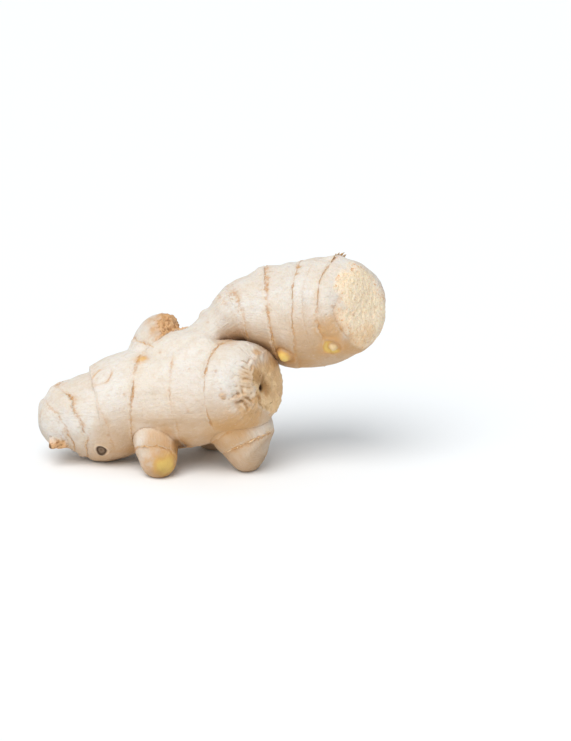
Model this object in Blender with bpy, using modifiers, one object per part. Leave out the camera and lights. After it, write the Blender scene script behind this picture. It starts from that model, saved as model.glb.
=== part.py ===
"""A fresh ginger rhizome, lying on its underside.

Run with: blender --background --python part.py

The root grew as one piece, so it is one object. Each of its lobes is a UV sphere drawn out along
a curved spine. The lobes are joined by a voxel remesh, relaxed where they meet, and then carved
by formulas that follow each spine: swellings between leaf-scale scars, the scars themselves,
buds and the flat snapped end. X runs along the long body, Y away from its front, Z up.
"""

import math

import bmesh
import bpy
import numpy as np
from mathutils import Vector, noise

MM = 0.001

# The fineness of the surface, in mm, and the faces that are kept of it.
VOXEL = 0.9
RELAX_ROUNDS = 30
RELAX_FACTOR = 0.5
KEPT_TRIANGLES = 10400
SPHERE_SIDES = 40
SPHERE_ROWS = 72
SAMPLES_PER_SPAN = 24

# Leaf-scale scars: a groove where the scale sat, with the lip of the older joint behind it.
SCAR_GROOVE = 0.7
SCAR_GROOVE_WIDTH = 1.0
SCAR_LIP = 0.32
SCAR_LIP_WIDTH = 1.1
SCAR_LIP_BACK = 1.5
SCAR_WAVE = 0.9
JOINT_SWELL = 0.5

# Uneven growth: slow and quick lumps, as (wavelength, height) in mm.
LUMPS = ((30.0, 1.5), (13.0, 0.7), (5.5, 0.22))

# The body's right end, where the root was snapped off: a flat face with a pit, cut square to
# FACE_WAY, and folds of loose skin beside it as (start, end, height). Places are (x, y, z) in mm.
FACE_WAY = (0.85, -0.48, 0.21)
FACE_CUT = 2.6
FACE_REACH = 17.0
FACE_CORNER = 0.4
PIT_AT = (21.5, -21.7, 38.3)
PIT_RADIUS = 2.2
PIT_DEPTH = 2.4
FOLD_WIDTH = 1.4
FOLDS = (
    ((9.0, -29.8, 35.4), (14.4, -28.0, 37.2), 1.2),
    ((13.4, -28.8, 36.4), (17.0, -27.0, 31.7), 1.0),
    ((17.8, -20.8, 50.0), (15.8, -23.7, 48.0), 1.0),
)

SKIN_COLOUR = (0.72, 0.55, 0.38, 1.0)
SKIN_ROUGHNESS = 0.62


class Lobe:
    """One finger of the root, drawn out along a spine.

    stations are (x, y, z, radius) in mm. caps are the lengths over which the two ends close, and
    cap_power says how square they are: 2 is round. scars are distances along the spine in mm,
    each with the slant of the scar: how far, in mm, it runs on at the top of the lobe. lumpy
    scales the uneven growth.
    """

    def __init__(self, name, stations, caps, cap_power=2.0, scars=(), lumpy=1.0):
        self.name = name
        self.caps = caps
        self.cap_power = cap_power
        self.scars = scars
        self.lumpy = lumpy
        curve = smooth_run(np.array(stations, float))
        self.centres = curve[:, :3]
        self.radii = curve[:, 3]
        steps = np.linalg.norm(np.diff(self.centres, axis=0), axis=1)
        self.along = np.concatenate([[0.0], np.cumsum(steps)])
        self.length = self.along[-1]
        self.tangents = unit(np.gradient(self.centres, self.along, axis=0))
        front = np.array([0.0, -1.0, 0.0])
        leaning = (self.tangents @ front)[:, None]
        self.fronts = unit(front - leaning * self.tangents)
        self.ups = np.cross(self.fronts, self.tangents)

    def at(self, distance, values):
        """A row of values read at distances along the spine."""
        columns = values.reshape(len(values), -1).T
        return np.stack([np.interp(distance, self.along, c) for c in columns], -1)

    def closing(self, distance):
        """What is left of the radius near the two ends, from 0 at a tip to 1."""
        share = np.ones_like(distance)
        for cap, gap in zip(self.caps, (distance, self.length - distance)):
            inward = np.clip(1 - gap / cap, 0, 1)
            share *= (1 - inward**self.cap_power) ** (1 / self.cap_power)
        return share

    def surface_point(self, distance, angle):
        """Where the skin is: angle 0 faces front, 90 up, 180 back and -90 down."""
        spot = np.array([distance])
        turn = math.radians(angle)
        way = math.cos(turn) * self.at(spot, self.fronts) + math.sin(turn) * self.at(spot, self.ups)
        reach = self.at(spot, self.radii) * self.closing(spot)[:, None]
        return (self.at(spot, self.centres) + reach * way)[0]


def unit(rows):
    return rows / np.linalg.norm(rows, axis=-1, keepdims=True)


def smooth_run(stations):
    """Points on a Catmull-Rom curve through the stations."""
    padded = np.vstack([2 * stations[0] - stations[1], stations, 2 * stations[-1] - stations[-2]])
    run = []
    for a, b, c, d in zip(padded, padded[1:], padded[2:], padded[3:]):
        for step in range(SAMPLES_PER_SPAN):
            t = step / SAMPLES_PER_SPAN
            bend = (2 * a - 5 * b + 4 * c - d) * t**2 + (3 * b - 3 * c + d - a) * t**3
            run.append(0.5 * (2 * b + (c - a) * t + bend))
    return np.array(run + [stations[-1]])


# The long body lies along X, bowed a little so that both ends come to the front.
BODY = Lobe(
    "body",
    [
        (-72.4, -3.5, 15.6, 7.8),
        (-67.6, -2.3, 16.8, 10.4),
        (-61.3, -0.5, 18.8, 14.1),
        (-54.2, 1.5, 19.2, 17.6),
        (-46.6, 3.0, 19.4, 20.2),
        (-36.5, 3.0, 24.0, 21.4),
        (-23.9, 1.0, 27.2, 21.8),
        (-9.2, -3.5, 30.4, 21.8),
        (4.0, -9.0, 34.3, 19.6),
        (11.6, -13.5, 36.8, 18.3),
        (17.5, -18.0, 38.4, 16.4),
        (21.6, -22.0, 39.6, 14.4),
    ],
    caps=(4.5, 8.0),
    cap_power=2.1,
    scars=((8.4, -2.8), (15.5, -3.2), (30.0, 4.0), (45.0, 8.0), (67.5, 1.5), (85.3, 3.8)),
)

# The big finger rises from the body on a neck and comes forward to a broad blunt end.
UPPER = Lobe(
    "upper",
    [
        (-19.7, 0.0, 30.1, 19.0),
        (-11.3, 0.8, 40.8, 16.6),
        (-2.6, 3.0, 48.4, 12.0),
        (4.8, 5.5, 56.2, 10.9),
        (12.7, 6.0, 61.9, 14.6),
        (23.5, 5.5, 62.4, 18.5),
        (36.1, 4.0, 62.9, 21.6),
        (47.3, 0.5, 65.3, 22.0),
        (55.6, -4.5, 67.9, 20.0),
        (60.5, -8.5, 70.0, 17.9),
        (64.0, -12.0, 71.4, 16.0),
    ],
    caps=(6.0, 6.0),
    cap_power=2.2,
    scars=((47.9, -1.8), (60.0, -2.6), (73.5, 3.5), (91.0, 2.5), (100.7, 1.0)),
)

# A stub on the body's back, broken off short.
STUB = Lobe(
    "stub",
    [
        (-26.8, 3.0, 39.8, 9.8),
        (-25.2, 6.0, 46.0, 9.5),
        (-21.6, 8.0, 51.8, 9.3),
        (-14.0, 8.5, 54.8, 6.8),
    ],
    caps=(3.0, 3.2),
    cap_power=2.3,
    scars=((8.5, 0.5),),
)

# A small pointed finger that reaches forward and down to the table.
FINGER = Lobe(
    "finger",
    [
        (-25.4, -3.0, 21.0, 11.5),
        (-24.3, -12.0, 15.4, 9.4),
        (-22.2, -20.0, 7.2, 8.0),
        (-20.4, -27.8, 3.2, 4.4),
    ],
    caps=(3.0, 5.0),
    cap_power=1.9,
    scars=((12.0, 1.0), (21.0, 4.0)),
    lumpy=0.6,
)

# A short knob under the body's right end, which carries that end.
FOOT = Lobe(
    "foot",
    [
        (4.0, -8.0, 27.0, 15.5),
        (11.5, -10.5, 19.4, 13.4),
        (17.8, -13.2, 9.0, 11.2),
        (22.6, -15.6, 6.2, 8.0),
    ],
    caps=(3.0, 5.0),
    cap_power=1.9,
    scars=((11.0, 1.5), (19.0, 0.5)),
    lumpy=0.8,
)

# A knob on the hidden side, which keeps the root from rolling back.
HEEL = Lobe(
    "heel",
    [
        (-11.0, 2.0, 26.0, 16.0),
        (-5.5, 11.0, 19.8, 14.0),
        (2.0, 19.0, 10.7, 11.8),
        (7.5, 23.2, 7.6, 8.2),
    ],
    caps=(3.0, 5.0),
    cap_power=1.9,
    scars=((12.0, 0.5), (21.5, 0.0)),
    lumpy=0.8,
)

LOBES = (BODY, UPPER, STUB, FINGER, FOOT, HEEL)

# Where the neck grows out of the body, it flows into it: this fills the groove between them.
SADDLE = Lobe(
    "saddle",
    [
        (-16.0, -5.0, 40.0, 12.0),
        (-9.0, -6.0, 44.0, 12.0),
        (-3.0, -6.0, 47.0, 11.0),
        (3.0, -3.0, 50.0, 9.5),
    ],
    caps=(6.0, 6.0),
)

# Domes on the skin: (lobe, distance along it in mm, angle, radius, height), both in mm. A bud
# stands out, and a pit has a height below 0.
DOMES = (
    (UPPER, 66.0, -36.0, 3.6, 2.6),
    (UPPER, 91.7, -33.0, 2.4, 1.5),
    (UPPER, 91.7, 104.0, 5.0, 1.6),
    (UPPER, 55.0, 100.0, 8.0, 1.3),
    (UPPER, 35.1, 95.0, 3.0, 1.2),
    (UPPER, 78.4, 77.0, 2.6, -0.7),
    (UPPER, 84.0, 205.0, 5.2, 2.8),
    (UPPER, 62.0, 165.0, 3.4, 1.6),
    (BODY, 53.5, 66.0, 2.6, 0.9),
    (BODY, 36.6, 58.0, 4.6, 1.0),
    (BODY, 4.0, -43.0, 3.4, 3.0),
    (BODY, 24.3, -38.0, 2.2, -1.2),
    (BODY, 96.7, 7.0, 2.0, 1.0),
    (BODY, 26.0, 165.0, 5.0, 2.0),
    (BODY, 80.0, 150.0, 7.0, 1.6),
    (BODY, 42.0, 205.0, 3.6, 2.2),
    (HEEL, 18.0, 130.0, 2.6, 1.2),
)

# Raised rings round an eye or a root scar: (lobe, distance along it, angle, ring radius, height).
RIMS = (
    (UPPER, 91.7, -33.0, 4.3, 0.8),
    (BODY, 36.6, 58.0, 4.8, 0.6),
    (BODY, 24.3, -38.0, 2.9, 0.8),
    (BODY, 26.0, 165.0, 5.4, 0.7),
    (BODY, 80.0, 150.0, 7.8, 0.9),
)
RIM_WIDTH = 0.9


def clear_scene():
    for old in list(bpy.data.objects):
        bpy.data.objects.remove(old, do_unlink=True)


def lobe_mesh(bm, lobe):
    """Adds a sphere to the mesh and draws it out along the lobe's spine, in metres."""
    made = bmesh.ops.create_uvsphere(
        bm, u_segments=SPHERE_SIDES, v_segments=SPHERE_ROWS, radius=1.0
    )
    verts = made["verts"]
    ball = np.array([v.co for v in verts])
    distance = lobe.length * (1 + ball[:, 2]) / 2
    way = unit(ball[:, :2] + [1e-9, 0])
    reach = lobe.at(distance, lobe.radii)[:, 0] * lobe.closing(distance)
    ring = way[:, :1] * lobe.at(distance, lobe.fronts) + way[:, 1:] * lobe.at(distance, lobe.ups)
    places = lobe.at(distance, lobe.centres) + reach[:, None] * ring
    for vert, place in zip(verts, places):
        vert.co = Vector(place * MM)
    # Front, up and the spine's own direction are a left-handed set, so the faces are turned.
    bmesh.ops.reverse_faces(bm, faces=list({f for v in verts for f in v.link_faces}))


def applied(obj):
    """The object with its modifiers worked into its mesh."""
    graph = bpy.context.evaluated_depsgraph_get()
    mesh = bpy.data.meshes.new_from_object(obj.evaluated_get(graph))
    old = obj.data
    obj.modifiers.clear()
    obj.data = mesh
    bpy.data.meshes.remove(old)


def drop_scraps(mesh):
    """Leaves only the largest connected skin: the remesh can leave a speck inside."""
    bm = bmesh.new()
    bm.from_mesh(mesh)
    left = set(bm.verts)
    skins = []
    while left:
        reached = [left.pop()]
        for vert in reached:
            near = {edge.other_vert(vert) for edge in vert.link_edges} & left
            left -= near
            reached.extend(near)
        skins.append(reached)
    skins.sort(key=len)
    bmesh.ops.delete(bm, geom=[v for skin in skins[:-1] for v in skin], context="VERTS")
    bm.to_mesh(mesh)
    bm.free()


def joined_lobes():
    """All lobes as one closed skin, relaxed so that they flow into each other."""
    bm = bmesh.new()
    for lobe in (*LOBES, SADDLE):
        lobe_mesh(bm, lobe)
    mesh = bpy.data.meshes.new("rhizome")
    bm.to_mesh(mesh)
    bm.free()
    obj = bpy.data.objects.new("rhizome", mesh)
    home = bpy.data.collections.new("ginger")
    bpy.context.scene.collection.children.link(home)
    home.objects.link(obj)
    remesh = obj.modifiers.new("one skin", "REMESH")
    remesh.mode = "VOXEL"
    remesh.voxel_size = VOXEL * MM
    relax = obj.modifiers.new("relax", "SMOOTH")
    relax.factor = RELAX_FACTOR
    relax.iterations = RELAX_ROUNDS
    applied(obj)
    drop_scraps(obj.data)
    return obj


def places_of(mesh):
    """The mesh's points and normals, the points in mm."""
    points = np.empty(len(mesh.vertices) * 3, np.float32)
    mesh.vertices.foreach_get("co", points)
    normals = np.empty(len(mesh.vertices) * 3, np.float32)
    mesh.vertex_normals.foreach_get("vector", normals)
    return points.reshape(-1, 3).astype(float) / MM, normals.reshape(-1, 3).astype(float)


def move_along(mesh, points, normals, height):
    moved = (points + normals * height[:, None]) * MM
    mesh.vertices.foreach_set("co", moved.astype(np.float32).ravel())
    mesh.update()


def lobe_coordinates(points):
    """For each point, the lobe it lies on, its distance along that lobe and its angle round it."""
    nearest = np.full(len(points), np.inf)
    owner = np.zeros(len(points), int)
    distance = np.zeros(len(points))
    angle = np.zeros(len(points))
    for index, lobe in enumerate(LOBES):
        apart = np.linalg.norm(points[:, None] - lobe.centres[None], axis=2)
        row = apart.argmin(axis=1)
        offset = points - lobe.centres[row]
        depth = apart[np.arange(len(points)), row] - lobe.radii[row]
        mine = depth < nearest
        nearest[mine] = depth[mine]
        owner[mine] = index
        run = lobe.along[row] + (offset * lobe.tangents[row]).sum(axis=1)
        turn = np.arctan2(
            (offset * lobe.ups[row]).sum(axis=1), (offset * lobe.fronts[row]).sum(axis=1)
        )
        distance[mine] = run[mine]
        angle[mine] = turn[mine]
    return owner, distance, angle


def noise_field(points, wavelength):
    return np.array([noise.noise(Vector(p / wavelength)) for p in points])


def scar_relief(points, owner, distance, angle):
    """Joints that swell between the scars, and at each scar a groove with a lip behind it."""
    height = np.zeros(len(points))
    wander = SCAR_WAVE * noise_field(points, 9.0)
    for index, lobe in enumerate(LOBES):
        mine = owner == index
        lift = np.sin(angle[mine])
        edges = [0.0, *[scar for scar, _ in lobe.scars], lobe.length]
        swell = np.zeros(mine.sum())
        for low, high in zip(edges, edges[1:]):
            share = np.clip((distance[mine] - low) / (high - low), 0, 1)
            swell += JOINT_SWELL * np.sin(math.pi * share) ** 2
        for scar, slant in lobe.scars:
            past = distance[mine] - scar - slant * lift - wander[mine]
            swell -= SCAR_GROOVE * np.exp(-((past / SCAR_GROOVE_WIDTH) ** 2))
            swell += SCAR_LIP * np.exp(-(((past + SCAR_LIP_BACK) / SCAR_LIP_WIDTH) ** 2))
        height[mine] += swell
    return height


def lump_relief(points, owner):
    height = np.zeros(len(points))
    for wavelength, size in LUMPS:
        height += size * noise_field(points + 37.0, wavelength)
    return height * np.array([lobe.lumpy for lobe in LOBES])[owner]


def spot_on(points, lobe, distance, angle):
    """How far each point is from the point of the skin that is nearest to a stated spot."""
    wanted = lobe.surface_point(distance, angle)
    centre = points[np.linalg.norm(points - wanted, axis=1).argmin()]
    return np.linalg.norm(points - centre, axis=1)


def bud_relief(points):
    height = np.zeros(len(points))
    for lobe, distance, angle, radius, rise in DOMES:
        apart = spot_on(points, lobe, distance, angle)
        height += rise * np.clip(1 - (apart / radius) ** 2, 0, 1) ** 1.5
    for lobe, distance, angle, radius, rise in RIMS:
        apart = spot_on(points, lobe, distance, angle)
        height += rise * np.exp(-(((apart - radius) / RIM_WIDTH) ** 2))
    return height


def nearest_to(points, place):
    return points[np.linalg.norm(points - np.array(place), axis=1).argmin()]


def face_relief(points, normals, owner):
    """The flat face that is cut off the body's right end, and the pit in it."""
    pit = nearest_to(points, PIT_AT)
    apart = np.linalg.norm(points - pit, axis=1)
    way = unit(np.array(FACE_WAY))
    at_end = (apart < FACE_REACH) & (owner == LOBES.index(BODY))
    rise = (points[at_end] - pit) @ way
    beyond = rise - rise.max() + FACE_CUT
    height = -PIT_DEPTH * np.exp(-((apart / PIT_RADIUS) ** 2))
    cut = FACE_CORNER * np.log1p(np.exp(beyond / FACE_CORNER))
    height[at_end] -= cut / np.clip(normals[at_end] @ way, 0.4, 1.0)
    return height


def fold_relief(points):
    """The folds of loose skin beside the face. Each is highest in the middle of its length."""
    height = np.zeros(len(points))
    for start, end, rise in FOLDS:
        start, end = nearest_to(points, start), nearest_to(points, end)
        way = end - start
        share = np.clip((points - start) @ way / (way @ way), 0, 1)
        apart = np.linalg.norm(points - start - share[:, None] * way, axis=1)
        taper = 0.4 + 0.6 * np.sin(math.pi * share)
        height += rise * taper * np.exp(-((apart / FOLD_WIDTH) ** 2))
    return height


def carve(mesh):
    """Moves the skin in and out along its own normals."""
    points, normals = places_of(mesh)
    owner, distance, angle = lobe_coordinates(points)
    height = lump_relief(points, owner) + scar_relief(points, owner, distance, angle)
    height += bud_relief(points) + face_relief(points, normals, owner) + fold_relief(points)
    move_along(mesh, points, normals, height)


def thin_out(obj):
    """Keeps the triangles where the skin bends most."""
    obj.data.calc_loop_triangles()
    fewer = obj.modifiers.new("fewer faces", "DECIMATE")
    fewer.ratio = KEPT_TRIANGLES / len(obj.data.loop_triangles)
    fewer.use_collapse_triangulate = True
    applied(obj)


def set_down(mesh):
    """Presses the low points flat on the table and puts the origin under the middle of the box."""
    for vert in mesh.vertices:
        vert.co.z = max(vert.co.z, 0.0)
    corners = np.array([v.co for v in mesh.vertices])
    middle = (corners.min(axis=0) + corners.max(axis=0)) / 2
    for vert in mesh.vertices:
        vert.co.x -= middle[0]
        vert.co.y -= middle[1]
    mesh.update()
    print("middle of the box, mm:", [round(float(value) / MM, 2) for value in middle])


def skin_material():
    material = bpy.data.materials.new("ginger_skin")
    material.use_nodes = True
    surface = material.node_tree.nodes["Principled BSDF"]
    surface.inputs["Base Color"].default_value = SKIN_COLOUR
    surface.inputs["Roughness"].default_value = SKIN_ROUGHNESS
    surface.inputs["Metallic"].default_value = 0.0
    return material


def main():
    clear_scene()
    rhizome = joined_lobes()
    carve(rhizome.data)
    thin_out(rhizome)
    set_down(rhizome.data)
    rhizome.data.materials.clear()
    rhizome.data.materials.append(skin_material())
    rhizome.data.shade_smooth()


main()
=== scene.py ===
# %% [markdown]
# # A fresh ginger root, from spines to skin
#
# Ginger is not a root but a rhizome: a thick stem that creeps through the soil. It grows in
# fingers, and each finger is a row of short joints. A thin leaf scale once wrapped every joint,
# and where it dried away it left a ring-shaped scar. This lesson builds the fine surface of one
# rhizome around a plain solid that already has the right size.
#
# The first cell loads that solid. It is only a guide here: it stays where it is, and the finished
# skin stands in its place at the end.

import math

import bmesh
import bpy
import numpy as np
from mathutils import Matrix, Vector, noise
from mathutils.bvhtree import BVHTree


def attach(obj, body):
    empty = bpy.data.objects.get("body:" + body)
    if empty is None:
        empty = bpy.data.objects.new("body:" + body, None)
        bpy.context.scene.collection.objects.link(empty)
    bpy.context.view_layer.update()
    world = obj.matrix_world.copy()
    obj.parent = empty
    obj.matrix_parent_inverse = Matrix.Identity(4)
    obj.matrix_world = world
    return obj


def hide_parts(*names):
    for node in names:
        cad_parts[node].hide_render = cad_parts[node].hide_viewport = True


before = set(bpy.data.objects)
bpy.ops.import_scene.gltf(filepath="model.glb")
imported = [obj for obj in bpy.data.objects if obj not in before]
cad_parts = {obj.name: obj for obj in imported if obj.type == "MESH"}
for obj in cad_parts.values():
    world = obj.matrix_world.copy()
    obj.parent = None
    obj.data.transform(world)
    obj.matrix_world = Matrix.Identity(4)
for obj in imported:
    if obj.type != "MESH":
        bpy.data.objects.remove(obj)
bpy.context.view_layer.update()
MM = 0.001

# %% [markdown]
# # The camera
#
# A photograph taken from far away with a long lens shows little perspective, so the sizes of
# near and far lobes stay true. One named scale, the real millimetres that a pixel covers at the
# root's distance, fixes the lens: half the picture's height in mm, over the distance, is the
# tangent of half the view angle. Blender measures the sensor along the picture's long side, which
# is its height here.

# %% Set up the camera
PICTURE_HEIGHT = 741
MM_PER_PIXEL = 0.42
CAMERA_DISTANCE = 900.0
CAMERA_ELEVATION = 16.0
AIM = Vector((31.4, 0.8, 39.5))
SENSOR = 36.0

camera_data = bpy.data.cameras.new("long lens")
camera_data.sensor_width = SENSOR
camera_data.lens = SENSOR * CAMERA_DISTANCE / (PICTURE_HEIGHT * MM_PER_PIXEL)
camera = bpy.data.objects.new("long lens", camera_data)
bpy.context.scene.collection.objects.link(camera)
rise = math.radians(CAMERA_ELEVATION)
camera.location = (AIM + CAMERA_DISTANCE * Vector((0, -math.cos(rise), math.sin(rise)))) * MM
camera.rotation_euler = (math.pi / 2 - rise, 0, 0)
bpy.context.scene.camera = camera
print("focal length, in mm:", round(camera_data.lens, 1))

# %% [markdown]
# # A white table under soft light
#
# On a light table almost everything around the root is white, so light comes back up from below
# and the shadows stay pale. The sky of the scene gives the even part of the light. A sun lamp
# shines alike on the whole table, so the table stays as white far away as it is near, and a sun
# that looks 50 degrees wide works like a huge soft box: it shades gently from the upper left.

# %% Lay the table and hang the lamps
TABLE_RADIUS = 4.0
TABLE_COLOUR = (0.93, 0.952, 0.975)
TABLE_ROUGHNESS = 0.7
SKY_STRENGTH = 0.55
SKY_COLOUR = (0.92, 0.968, 1.0, 1.0)
SUN_STRENGTH = 2.28
SUN_COLOUR = (1.0, 0.975, 0.945)
SUN_WIDTH = 50.0
SUN_WAY = Vector((0.27, 0.5, -0.85))


def plain_material(name, colour, roughness):
    material = bpy.data.materials.new(name)
    material.use_nodes = True
    surface = material.node_tree.nodes["Principled BSDF"]
    surface.inputs["Base Color"].default_value = (*colour, 1.0)
    surface.inputs["Roughness"].default_value = roughness
    return material


def new_piece(name, bm, material):
    """Turns a bmesh into an object in the scene, smooth shaded, and frees the bmesh."""
    mesh = bpy.data.meshes.new(name)
    bm.to_mesh(mesh)
    bm.free()
    mesh.materials.append(material)
    mesh.shade_smooth()
    piece = bpy.data.objects.new(name, mesh)
    bpy.context.scene.collection.objects.link(piece)
    return piece


bm = bmesh.new()
bmesh.ops.create_circle(bm, cap_ends=True, segments=96, radius=TABLE_RADIUS)
table = new_piece("table", bm, plain_material("table white", TABLE_COLOUR, TABLE_ROUGHNESS))

sun_data = bpy.data.lights.new("soft sun", "SUN")
sun_data.energy = SUN_STRENGTH
sun_data.color = SUN_COLOUR
sun_data.angle = math.radians(SUN_WIDTH)
sun = bpy.data.objects.new("soft sun", sun_data)
sun.rotation_euler = SUN_WAY.to_track_quat("-Z", "Y").to_euler()
bpy.context.scene.collection.objects.link(sun)

world = bpy.data.worlds.new("white studio")
world.use_nodes = True
sky = world.node_tree.nodes["Background"]
sky.inputs["Color"].default_value = SKY_COLOUR
sky.inputs["Strength"].default_value = SKY_STRENGTH
bpy.context.scene.world = world
bpy.context.scene.view_settings.view_transform = "Standard"
sun_share = -SUN_WAY.normalized().z / math.pi
print("light on the table:", round(SKY_STRENGTH + SUN_STRENGTH * sun_share, 2))

# %% [markdown]
# # One spine for each finger
#
# Each finger of the rhizome is described by a spine: a few stations along its middle, each a
# place and a radius in mm. A Catmull-Rom curve runs smoothly through them. The same spines shaped
# the plain solid, so they are given again here: they make the skin, and later they say where any
# point of the skin lies along its finger and around it.
#
# A frame of three directions rides along every spine: its own direction, the way to the front,
# and the way up. With those, "40 mm along the body, 30 degrees above the front" is one place on
# the skin, and a scar is simply a place along the spine that runs all the way round. The saddle is
# no finger: it fills the valley where the upper finger grows out of the body.

# %% Describe the fingers
SPINES_MOVED = np.array([0.59, 0.79, 0.0, 0.0])
SAMPLES_PER_SPAN = 24


def unit(rows):
    return rows / np.linalg.norm(rows, axis=-1, keepdims=True)


def smooth_run(stations):
    """Points on a Catmull-Rom curve through the stations."""
    padded = np.vstack([2 * stations[0] - stations[1], stations, 2 * stations[-1] - stations[-2]])
    run = []
    for a, b, c, d in zip(padded, padded[1:], padded[2:], padded[3:]):
        for step in range(SAMPLES_PER_SPAN):
            t = step / SAMPLES_PER_SPAN
            bend = (2 * a - 5 * b + 4 * c - d) * t**2 + (3 * b - 3 * c + d - a) * t**3
            run.append(0.5 * (2 * b + (c - a) * t + bend))
    return np.array(run + [stations[-1]])


class Finger:
    """One finger: stations (x, y, z, radius) in mm, the lengths over which its ends close, how
    square they are, its scars as (distance, slant, strength), and a share of the uneven growth."""

    def __init__(self, stations, caps, squareness, scars, lumpy=1.0):
        self.caps, self.squareness, self.scars, self.lumpy = caps, squareness, scars, lumpy
        curve = smooth_run(np.array(stations, float) + SPINES_MOVED)
        self.centres, self.radii = curve[:, :3], curve[:, 3]
        steps = np.linalg.norm(np.diff(self.centres, axis=0), axis=1)
        self.along = np.concatenate([[0.0], np.cumsum(steps)])
        self.length = self.along[-1]
        self.tangents = unit(np.gradient(self.centres, self.along, axis=0))
        front = np.array([0.0, -1.0, 0.0])
        self.fronts = unit(front - (self.tangents @ front)[:, None] * self.tangents)
        self.ups = np.cross(self.fronts, self.tangents)

    def at(self, distance, values):
        columns = values.reshape(len(values), -1).T
        return np.stack([np.interp(distance, self.along, c) for c in columns], -1)

    def closing(self, distance):
        """What is left of the radius near the two ends, from 0 at a tip to 1."""
        share = np.ones_like(distance)
        for cap, gap in zip(self.caps, (distance, self.length - distance)):
            inward = np.clip(1 - gap / cap, 0, 1)
            share *= (1 - inward**self.squareness) ** (1 / self.squareness)
        return share

    def way_out(self, distance, degrees):
        """The middle of the finger and the way to its skin: 0 is the front, 90 up, 180 back."""
        spot, turn = np.array([distance]), math.radians(degrees)
        way = math.cos(turn) * self.at(spot, self.fronts) + math.sin(turn) * self.at(spot, self.ups)
        return self.at(spot, self.centres)[0], way[0]

    def skin_place(self, distance, degrees):
        middle, way = self.way_out(distance, degrees)
        spot = np.array([distance])
        return middle + way * (self.at(spot, self.radii)[0, 0] * self.closing(spot)[0])


body = Finger(
    [
        (-72.4, -3.5, 15.6, 7.8), (-67.6, -2.3, 16.8, 10.4), (-61.3, -0.5, 18.8, 14.1),
        (-54.2, 1.5, 19.2, 17.6), (-46.6, 3.0, 19.4, 20.2), (-36.5, 3.0, 24.0, 21.4),
        (-23.9, 1.0, 27.2, 21.8), (-9.2, -3.5, 30.4, 21.8), (4.0, -9.0, 34.3, 19.6),
        (11.6, -13.5, 36.8, 18.3), (17.5, -18.0, 38.4, 16.4), (21.6, -22.0, 39.6, 14.4),
    ],
    caps=(4.5, 8.0), squareness=2.1,
    scars=[
        (8.4, -2.8, 0.7), (15.5, -3.2, 0.75), (30.0, 4.0, 0.22),
        (45.0, 8.0, 1.0), (67.5, 1.5, 0.55), (85.3, 3.8, 0.9), (4.8, -2.8, 0.38),
    ],
)
upper = Finger(
    [
        (-19.7, 0.0, 30.1, 19.0), (-11.3, 0.8, 40.8, 16.6), (-2.6, 3.0, 48.4, 12.0),
        (4.8, 5.5, 56.2, 10.9), (12.7, 6.0, 61.9, 14.6), (23.5, 5.5, 62.4, 18.5),
        (36.1, 4.0, 62.9, 21.6), (47.3, 0.5, 65.3, 22.0), (55.6, -4.5, 67.9, 20.0),
        (60.5, -8.5, 70.0, 17.9), (64.0, -12.0, 71.4, 16.0),
    ],
    caps=(6.0, 6.0), squareness=2.2,
    scars=[
        (36.5, -2.0, 0.2), (45.4, -1.8, 0.28), (47.9, -1.8, 0.55), (60.0, -2.6, 0.9),
        (73.5, 3.5, 0.75), (82.0, 3.0, 0.2), (91.0, 2.5, 0.75), (100.7, 1.0, 0.45),
    ],
)
stub = Finger(
    [
        (-26.8, 3.0, 39.8, 9.8), (-25.2, 6.0, 46.0, 9.5), (-21.6, 8.0, 51.8, 9.3),
        (-14.0, 8.5, 54.8, 6.8),
    ],
    caps=(3.0, 3.2), squareness=2.3, scars=[(8.5, 0.5, 1.0)],
)
pointed = Finger(
    [
        (-25.4, -3.0, 21.0, 11.5), (-24.3, -12.0, 15.4, 9.4), (-22.2, -20.0, 7.2, 8.0),
        (-20.4, -27.8, 3.2, 4.4),
    ],
    caps=(3.0, 5.0), squareness=1.9, scars=[(12.0, 1.0, 0.6), (21.0, 4.0, 0.9)], lumpy=0.6,
)
foot = Finger(
    [
        (4.0, -8.0, 27.0, 15.5), (11.5, -10.5, 19.4, 13.4), (17.8, -13.2, 9.0, 11.2),
        (22.6, -15.6, 6.2, 8.0),
    ],
    caps=(3.0, 5.0), squareness=1.9, scars=[(11.0, 1.5, 0.8), (19.0, 0.5, 0.7)], lumpy=0.8,
)
heel = Finger(
    [
        (-11.0, 2.0, 26.0, 16.0), (-5.5, 11.0, 19.8, 14.0), (2.0, 19.0, 10.7, 11.8),
        (7.5, 23.2, 7.6, 8.2),
    ],
    caps=(3.0, 5.0), squareness=1.9, scars=[(12.0, 0.5, 0.8), (21.5, 0.0, 0.7)], lumpy=0.8,
)
fingers = [body, upper, stub, pointed, foot, heel]
saddle = Finger(
    [
        (-16.0, -5.0, 40.0, 12.0), (-9.0, -6.0, 44.0, 12.0), (-3.0, -6.0, 47.0, 11.0),
        (3.0, -3.0, 50.0, 9.5),
    ],
    caps=(6.0, 6.0), squareness=2.0, scars=[],
)
print("lengths of the spines, in mm:", [round(float(f.length), 1) for f in fingers])

# %% [markdown]
# # From spheres to one skin
#
# A UV sphere drawn out along a spine makes a finger with neat round ends. Joining fingers with a
# Boolean would leave a sharp line where they meet, and a rhizome has none: its fingers grow out
# of each other. A voxel remesh wraps all of them in one closed skin of even small faces, and a
# Smooth modifier then lets the joins flow. The number of rounds grows with the square of the
# fineness, because each round only reaches one face further.

# %% Wrap the fingers in one skin
VOXEL = 0.46
SOLID_VOXEL = 0.9
SOLID_ROUNDS = 30
RELAX_FACTOR = 0.5
SPHERE_SIDES = 40
SPHERE_ROWS = 72
NUDGE = 1e-9


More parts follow.
